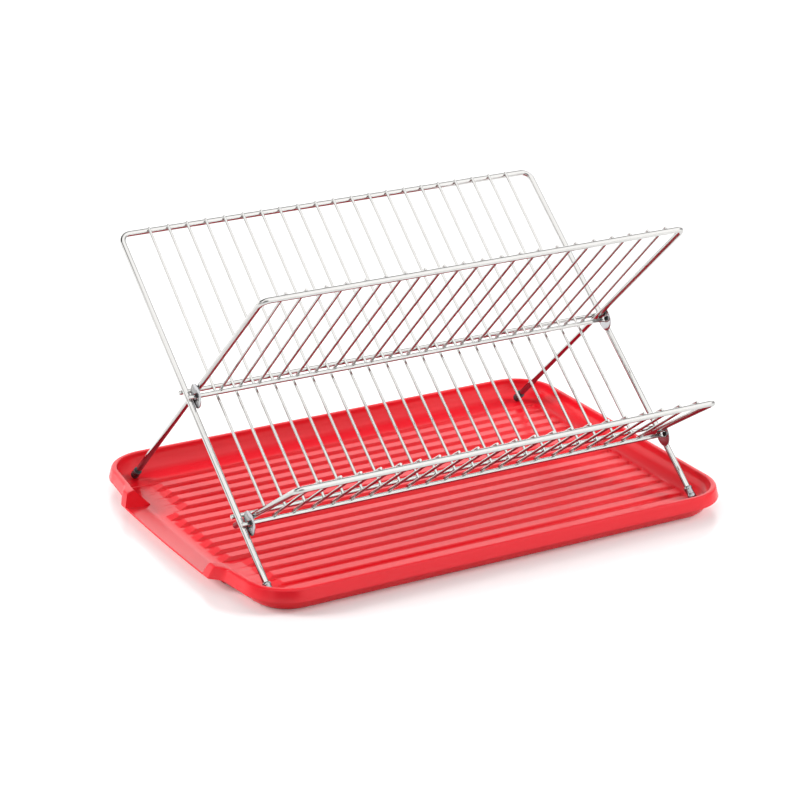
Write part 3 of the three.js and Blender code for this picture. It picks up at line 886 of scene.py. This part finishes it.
def traySpots():
    # places round the tray, counterclockwise: a function of lean and grow, y on the left side, and kind
    v, lines = tray, trayLines
    spots = []

    def cornerPlace(sx, sy, drawX, drawY, turn):
        def place(lean, grow):
            x = sx * (halfX - v["corner"]) + (v["corner"] - lean * drawX + grow) * cos(turn)
            y = sy * straightY + (v["corner"] - lean * drawY + grow) * sin(turn)
            return x, y
        return place

    def between(first, second, share):
        def place(lean, grow):
            a, b = first(lean, grow), second(lean, grow)
            return mixed(a[0], b[0], share), mixed(a[1], b[1], share)
        return place

    def leftPlace(y):
        def place(lean, grow):
            return -halfX - bowAt(y) + lean * v["draw"]["left"] - grow, y
        return place

    last = None
    for k, (sx, sy, dx, dy) in enumerate(trayCorners):
        first = cornerPlace(sx, sy, v["draw"][dx], v["draw"][dy], (k + 2) * pi / 2)
        if last is not None:
            for i in range(1, lines["straight"]):
                spots.append((between(last, first, i / lines["straight"]), None, None))
        for i in range(v["cornerSteps"] + 1):
            turn = (k + 2 + i / v["cornerSteps"]) * pi / 2
            last = cornerPlace(sx, sy, v["draw"][dx], v["draw"][dy], turn)
            spots.append((last, None, None))
    # down the left side: wall, the gap's end, ramp, the other end, wall
    blended = v["spoutHalf"] + v["cheek"] + v["cheekBlend"] + lines["blendRoom"]
    offs = stepsBetween([(straightY - lines["cornerRoom"], lines["wall"]), (blended, lines["blend"]),
                         (v["spoutHalf"] + v["endRound"], None)])
    inner = stepsBetween([(v["spoutHalf"], lines["nearRamp"]),
                          (v["spoutHalf"] - lines["nearEnd"], lines["ramp"]), (0, None)])
    rows = [(off, "wall") for off in offs] + [(v["spoutHalf"], "end")]
    rows += [(off, "ramp") for off in inner]
    shift, reach = v["spoutShift"], straightY - lines["cornerSkip"]
    for off, kind in rows:
        if shift + off < reach:
            spots.append((leftPlace(shift + off), shift + off, kind))
    for off, kind in reversed(rows[:-1]):
        if shift - off > -reach:
            spots.append((leftPlace(shift - off), shift - off, kind))
    return spots


def wallSection(place, y, shrink):
    # one section through the wall: floor, wall, rim, skirt, and back inside to the underside
    v = tray
    blend = 1.0 if y is None else (abs(y - v["spoutShift"]) - v["spoutHalf"] - v["cheek"]) / v["cheekBlend"]
    flare = (1 - min(max(blend, 0.0), 1.0)) ** v["cheekShape"]
    top, inner, outer = rimZ - shrink, v["innerEdge"], v["outerEdge"]
    skirtLow = mixed(rimZ - v["skirt"], lipZ - v["wall"], flare)
    footX, footY = place(1.0, 0.0)
    wide = 0.0 if y is None else wideFoot(y)
    low = floorHeight(footX + wide, footY)
    points = []
    for i in range(v["wallSteps"] + 1):
        turn = pi / 2 * i / v["wallSteps"]
        x, yy = place(mixed(1 - sin(turn), cos(turn), wide / v["endFoot"]), -shrink)
        points.append((x + wide * cos(turn), yy, low + (top - inner - low) * (1 - cos(turn))))

    def outAt(inset, z):
        x, yy = place(0.0, v["rim"] - inset - shrink + v["skirtFlare"] * (rimZ - z) / v["skirt"])
        if flare > 0:
            lean = v["cheekLean"] * max(0.0, z - lipZ) / (rimZ - lipZ)
            x = mixed(x, lipAt(y) + lean + inset + shrink, flare)
        return x, yy

    for i in range(1, v["innerSteps"] + 1):
        turn = pi / 2 * i / v["innerSteps"]
        points.append((*place(0.0, inner * (1 - cos(turn)) - shrink), top - inner * (1 - sin(turn))))
    rimFrom = len(points)
    for i in range(v["outerSteps"] + 1):
        turn = pi / 2 * i / v["outerSteps"]
        z = top - outer * (1 - cos(turn))
        points.append((*outAt(outer * (1 - sin(turn)), z), z))
    lowRound = v["wall"] / 2
    middle = (top - outer + skirtLow + lowRound) / 2
    points.append((*outAt(0.0, middle), middle))
    for i in range(v["lowSteps"] + 1):
        turn = pi * i / v["lowSteps"]
        z = skirtLow + lowRound * (1 - sin(turn))
        points.append((*outAt(lowRound * (1 - cos(turn)), z), z))
    under = mixed(top, skirtLow + v["wall"] + 2 * v["slit"], min(1.0, flare * 2)) - v["wall"]
    points.append((*outAt(v["wall"], under), under))
    rimTo = len(points)
    points.append((*place(0.0, v["wall"] + v["slit"]), under))
    addDownside(points, place, under)
    if y is None:
        return points
    drawn = []
    for k, (x, yy, z) in enumerate(points):
        yy = warped(y, x, z)
        follow = 1 - flare if rimFrom <= k < rimTo else 1
        drawn.append((x + (bowAt(y) - bowAt(yy)) * follow, yy, z))
    return drawn


def rampSection(place, y):
    # one section through the ramp and its lip, with as many points as the wall's
    v = tray
    low = floorHeight(-v["rampFoot"], 0.0)
    edge, outer = lipAt(y), v["wall"] / 2

    def heightAt(x):
        share = (x + v["rampFoot"]) / (edge + v["rampFoot"])
        return low + (lipZ - low) * rampRise(min(max(share, 0.0), 1.0))

    points = []
    last = v["wallSteps"] + v["innerSteps"]
    for i in range(last + 1):
        x = mixed(-v["rampFoot"], edge + v["lipOver"] * outer, (i / last) ** v["rampShape"])
        points.append((x, y, heightAt(x)))
    top = points[-1][2]
    steps = v["lipSteps"]
    for i in range(steps):
        turn = pi / 2 * (i + 1 / 2) / (steps - 1 / 2)
        points.append((edge + outer * (1 - sin(turn)), y, top - outer * (1 - cos(turn))))
    for i in range(1, steps + 1):
        turn = pi / 2 * i / steps
        points.append((edge + outer * (1 - cos(turn)), y, top - outer - outer * sin(turn)))
    inWall = place(0.0, v["wall"] + v["slit"])[0]
    under = heightAt(inWall) - v["wall"]
    halfway = (edge + inWall) / 2
    points.append((halfway, y, heightAt(halfway) - v["wall"]))
    points.append((inWall, y, under))
    addDownside(points, place, under)
    return [(x, warped(y, x, z), z) for x, y, z in points]


def addDownside(points, place, under):
    # the wall's outer face, from under the rim down to the table
    steps = tray["downSteps"]
    for i in range(1, steps + 1):
        z = under * (1 - i / steps)
        lean = 1 - sin(acos(1 - z / rimZ))
        points.append((*place(lean, tray["wall"]), z))


def traySection(place, y, kind):
    if kind == "ramp":
        return rampSection(place, y)
    return wallSection(place, y, tray["endRound"] * tray["endRoundShare"] if kind == "end" else 0.0)


def leftEdge(y):
    off = abs(y - tray["spoutShift"])
    if off < tray["spoutHalf"] + endShift(-tray["rampFoot"], 0.0) + tray["rampRoom"]:
        return -tray["rampFoot"]
    return -halfX - bowAt(y) + tray["draw"]["left"] + wideFoot(y)


def wellInside(x, y):
    # inside the floor's outline and not too near its edge
    v, margin = tray, trayLines["margin"]
    frontY, backY = margin + v["draw"]["front"] - halfY, halfY - v["draw"]["back"] - margin
    if not (frontY < y < backY) or x > ribsRight - margin:
        return False
    if abs(y) <= straightY and x < leftEdge(y) + margin:
        return False
    for sx, sy, dx, dy in trayCorners:
        cx, cy = sx * (halfX - v["corner"]), sy * straightY
        if (x - cx) * sx > 0 and (y - cy) * sy > 0:
            rx = v["corner"] - v["draw"][dx] - margin
            ry = v["corner"] - v["draw"][dy] - margin
            if ((x - cx) / rx) ** 2 + ((y - cy) / ry) ** 2 > 1:
                return False
    return True


def stepsBetween(stops):
    # lines at the given steps: [(from, step), ..., (end, None)]
    lines = []
    for (low, step), (high, _) in zip(stops, stops[1:]):
        count = max(1, round(abs(high - low) / step))
        lines += [mixed(low, high, i / count) for i in range(count)]
    lines.append(stops[-1][0])
    return lines


def fillRing(bm, ring, points, height, edges=()):
    # edges join points by their numbers, and no triangle crosses them
    outline = [Vector((vert.co.x / mm, vert.co.y / mm)) for vert in ring]
    inside = [Vector(p) for p in points]
    kept = [(a + len(ring), b + len(ring)) for a, b in edges]
    onlyInside, nearest = 1, 1e-4
    verts, _, faces, _, _, _ = delaunay_2d_cdt(
        outline + inside, kept, [list(range(len(outline)))], onlyInside, nearest)
    made = []
    for k, spot in enumerate(verts):
        if k < len(ring):
            made.append(ring[k])
        else:
            made.append(bm.verts.new(Vector((spot.x, spot.y, height(spot.x, spot.y))) * mm))
    for face in faces:
        corners = [made[k] for k in face]
        if bm.faces.get(corners) is None:
            bm.faces.new(corners)


underValues = {
    "pocketWidth": 5.4,
    "webWidth": 18.0,
    "inset": 14.0,
    "edge": 0.5,
}
pocketsLeft = -tray["shortFoot"] + tray["slope"] + underValues["inset"]
pocketsRight = ribsRight - underValues["inset"]


def underHeight(x, y):
    # straight hollows under the ribs, with a solid web across the middle
    v, u = tray, underValues
    index = (y - ribsFront) / v["ribPitch"] - 1 / 2
    across = abs(index - min(max(round(index), 0), v["ribCount"] - 1)) * v["ribPitch"]
    inX = min(x - pocketsLeft, pocketsRight - x, abs(x) - u["webWidth"] / 2)
    share = min(inX, u["pocketWidth"] / 2 - across) / u["edge"]
    return (v["floor"] - v["wall"]) * min(max(share, 0.0), 1.0)


def floorSpots():
    # a grid of places on the floor, closer where it slopes
    v, lines = tray, trayLines
    foot, slope, edge = v["longFoot"], v["slope"], lines["edge"]
    lineX = stepsBetween([
        (-halfX, lines["channel"]), (-foot - edge, lines["slope"]),
        (-foot + slope + edge, lines["behindSlope"]), (-v["shortFoot"] - edge, lines["slope"]),
        (-v["shortFoot"] + slope + edge, lines["start"]), (lines["startTo"], lines["ribs"]),
        (ribsRight - lines["endReach"], lines["end"]), (ribsRight - lines["tipReach"], lines["tip"]),
        (ribsRight + edge, None)])
    halfPitch = v["ribPitch"] / 2
    lineY = stepsBetween([(-halfY, lines["border"]), (ribsFront - v["endSlope"] - edge, lines["fold"]),
                          (ribsFront - halfPitch, None)])
    for i in range(v["ribCount"] + 1):
        middle = ribsFront + i * v["ribPitch"]
        for side in (-1, 1):
            lineY += [middle + side * share * halfPitch for share in lines["flankShares"][side < 0:]]
        lineY.append(middle + halfPitch)
    lineY += stepsBetween([(ribsBack + halfPitch + edge, lines["fold"]),
                           (ribsBack + v["endSlope"] + edge, lines["border"]), (halfY, None)])
    return [(x, y) for x in lineX for y in lineY if wellInside(x, y)]


def pocketSpots():
    # the corners of each pocket, at the underside and at its top, and the edges between them
    v, u = tray, underValues
    web = u["webWidth"] / 2
    spots, edges = [], []
    for i in range(v["ribCount"]):
        middle = ribsFront + (i + 1 / 2) * v["ribPitch"]
        for low, high in ((pocketsLeft, -web), (web, pocketsRight)):
            for inset in (0.0, u["edge"]):
                first, off = len(spots), u["pocketWidth"] / 2 - inset
                spots += [(low + inset, middle - off), (high - inset, middle - off),
                          (high - inset, middle + off), (low + inset, middle + off)]
                edges += [(first + k, first + (k + 1) % 4) for k in range(4)]
    return spots, edges


def addTray():
    bm = bmesh.new()
    sections = [traySection(*spot) for spot in traySpots()]
    rings = []
    for k in range(len(sections[0])):
        rings.append([bm.verts.new(Vector(section[k]) * mm) for section in sections])
    joinRings(bm, rings)
    fillRing(bm, rings[0], floorSpots(), floorHeight)
    spots, edges = pocketSpots()
    fillRing(bm, rings[-1], spots, underHeight, edges)
    makePiece("dripTray", bm, redMoulding, "tray", ["drip_tray"], tray["sharp"])


addTray()
print("tray made")


# floor, lamps and world
studio = {
    "floorHalf": 6,
    "floorSteps": 8,
    "floorColor": 0.95,
    "floorGlow": 0.09,  # only for what the camera and mirrors see
    "farGlow": (1.2, 2.6, 0, 1),  # metres from the middle, and the extra glow there
    "floorRoughness": 0.24,
    "floorGloss": 0.9,
    "worldLevel": 0.40,
    "lampAim": (0.0, 0.0, 0.1),
    "lamps": [
        # place, size, power
        ((-2.1, 1.1, 1.3), 1.2, 60),
        ((2.0, -1.35, 1.5), 1.2, 56),
        ((0.3, 1.0, 2.6), 1.8, 10),
    ],
    # what polished metal and glossy plastic see of the room
    "room": 1.75,
    "parts": [
        # along which axis a part of the room blends in, from where to where, and how bright it is
        ("Z", 0.64, 0.76, 1.6),
        ("Y", 0.05, 0.25, 0.40),
        ("Z", 0.58, 0.46, 1.6),
        ("X", 0.74, 0.92, 0.50),
        ("X", -0.84, -0.94, 0.55),
    ],
    # a direction, then from where to where towards it the room gets darker, with the shares left
    "darkSpot": ((-0.56, 0.42, 0.71), (0.89, 0.95, 1, 0.03)),
    "cameraGap": ((-0.48, -0.86, 0.17), (0.80, 0.93, 1, 0.2)),  # between the soft boxes, at the camera
    "zenithGap": ((0.88, 0.0, 0.47), (0.02, 0.06, 0.6, 1)),  # across the thin dark line overhead
}


def seenDirectly(nodes, links):
    # whether the camera, a mirror or a clear thing sees this
    rays = nodes.new("ShaderNodeLightPath").outputs
    either = mathNode(nodes, links, "MAXIMUM", rays["Is Camera Ray"], rays["Is Glossy Ray"])
    return rays, mathNode(nodes, links, "MAXIMUM", either, rays["Is Transmission Ray"])


def addFloor():
    bm = bmesh.new()
    steps = studio["floorSteps"]
    bmesh.ops.create_grid(bm, x_segments=steps, y_segments=steps, size=studio["floorHalf"])
    mesh = finishMesh(bm, "studioFloor")
    mat = bpy.data.materials.new("studioFloor")
    mat.use_nodes = True
    nodes, links = mat.node_tree.nodes, mat.node_tree.links
    shader = nodes["Principled BSDF"]
    level = studio["floorColor"]
    shader.inputs["Base Color"].default_value = (level, level, level, 1)
    shader.inputs["Roughness"].default_value = studio["floorRoughness"]
    shader.inputs["Specular IOR Level"].default_value = studio["floorGloss"]
    shader.inputs["Emission Color"].default_value = (1, 1, 1, 1)
    rays, seen = seenDirectly(nodes, links)
    glow = mathNode(nodes, links, "MULTIPLY", seen, studio["floorGlow"])
    # far from the object the camera sees it white, up to its edge
    place = nodes.new("ShaderNodeTexCoord")
    away = nodes.new("ShaderNodeVectorMath")
    away.operation = "LENGTH"
    links.new(place.outputs["Object"], away.inputs[0])
    far = mapRange(nodes, *studio["farGlow"])
    links.new(away.outputs["Value"], far.inputs["Value"])
    whole = mathNode(nodes, links, "MULTIPLY_ADD", far.outputs["Result"], rays["Is Camera Ray"], glow)
    links.new(whole, shader.inputs["Emission Strength"])
    mesh.materials.append(mat)
    floor = addObject("studioFloor", mesh)


def addLamps():
    aim = Vector(studio["lampAim"])
    for k, (place, size, power) in enumerate(studio["lamps"]):
        data = bpy.data.lights.new(f"softLamp{k + 1}", "AREA")
        data.shape = "DISK"
        data.size = size
        data.energy = power
        lamp = addObject(data.name, data)
        lamp.location = place
        lamp.rotation_euler = (aim - Vector(place)).to_track_quat("-Z", "Y").to_euler()
        lamp.visible_glossy = False


def addWorld():
    world = bpy.data.worlds.new("studioWorld")
    world.use_nodes = True
    bpy.context.scene.world = world
    nodes, links = world.node_tree.nodes, world.node_tree.links
    plain = nodes["Background"]
    mirrored, white = nodes.new("ShaderNodeBackground"), nodes.new("ShaderNodeBackground")
    for background in (plain, mirrored, white):
        background.inputs["Color"].default_value = (1, 1, 1, 1)
    # mirrors see a bright room that is greyer high at the back and at both sides
    direction = nodes.new("ShaderNodeTexCoord")
    parts = nodes.new("ShaderNodeSeparateXYZ")
    links.new(direction.outputs["Generated"], parts.inputs[0])
    level = None
    for axis, low, high, value in studio["parts"]:
        share = mapRange(nodes, low, high, 0, 1)
        links.new(parts.outputs[axis], share.inputs["Value"])
        blendTo = nodes.new("ShaderNodeMix")
        blendTo.data_type = "FLOAT"
        blendTo.inputs["B"].default_value = value
        if level is None:
            blendTo.inputs["A"].default_value = studio["room"]
        else:
            links.new(level, blendTo.inputs["A"])
        links.new(share.outputs["Result"], blendTo.inputs["Factor"])
        level = blendTo.outputs["Result"]

    def dimmed(level, gap, absolute=False):
        axis, marks = gap
        towards = nodes.new("ShaderNodeVectorMath")
        towards.operation = "DOT_PRODUCT"
        links.new(direction.outputs["Generated"], towards.inputs[0])
        towards.inputs[1].default_value = axis
        clear = mapRange(nodes, *marks)
        near = towards.outputs["Value"]
        if absolute:
            near = mathNode(nodes, links, "ABSOLUTE", near)
        links.new(near, clear.inputs["Value"])
        return mathNode(nodes, links, "MULTIPLY", level, clear.outputs["Result"]), clear

    # a dark place high up at the left, the gap at the camera, and a thin line overhead
    level, _ = dimmed(level, studio["darkSpot"])
    level, gap = dimmed(level, studio["cameraGap"])
    level, _ = dimmed(level, studio["zenithGap"], True)
    links.new(level, mirrored.inputs["Strength"])
    ambient = mathNode(nodes, links, "MULTIPLY", gap.outputs["Result"], studio["worldLevel"])
    links.new(ambient, plain.inputs["Strength"])
    rays, seen = seenDirectly(nodes, links)
    mixSeen = nodes.new("ShaderNodeMixShader")
    links.new(rays["Is Camera Ray"], mixSeen.inputs[0])
    links.new(mirrored.outputs[0], mixSeen.inputs[1])
    links.new(white.outputs[0], mixSeen.inputs[2])
    mix = nodes.new("ShaderNodeMixShader")
    links.new(seen, mix.inputs[0])
    links.new(plain.outputs[0], mix.inputs[1])
    links.new(mixSeen.outputs[0], mix.inputs[2])
    links.new(mix.outputs[0], nodes["World Output"].inputs["Surface"])


addFloor()
addLamps()
addWorld()
bpy.context.scene.view_settings.view_transform = "Standard"
print("studio made")
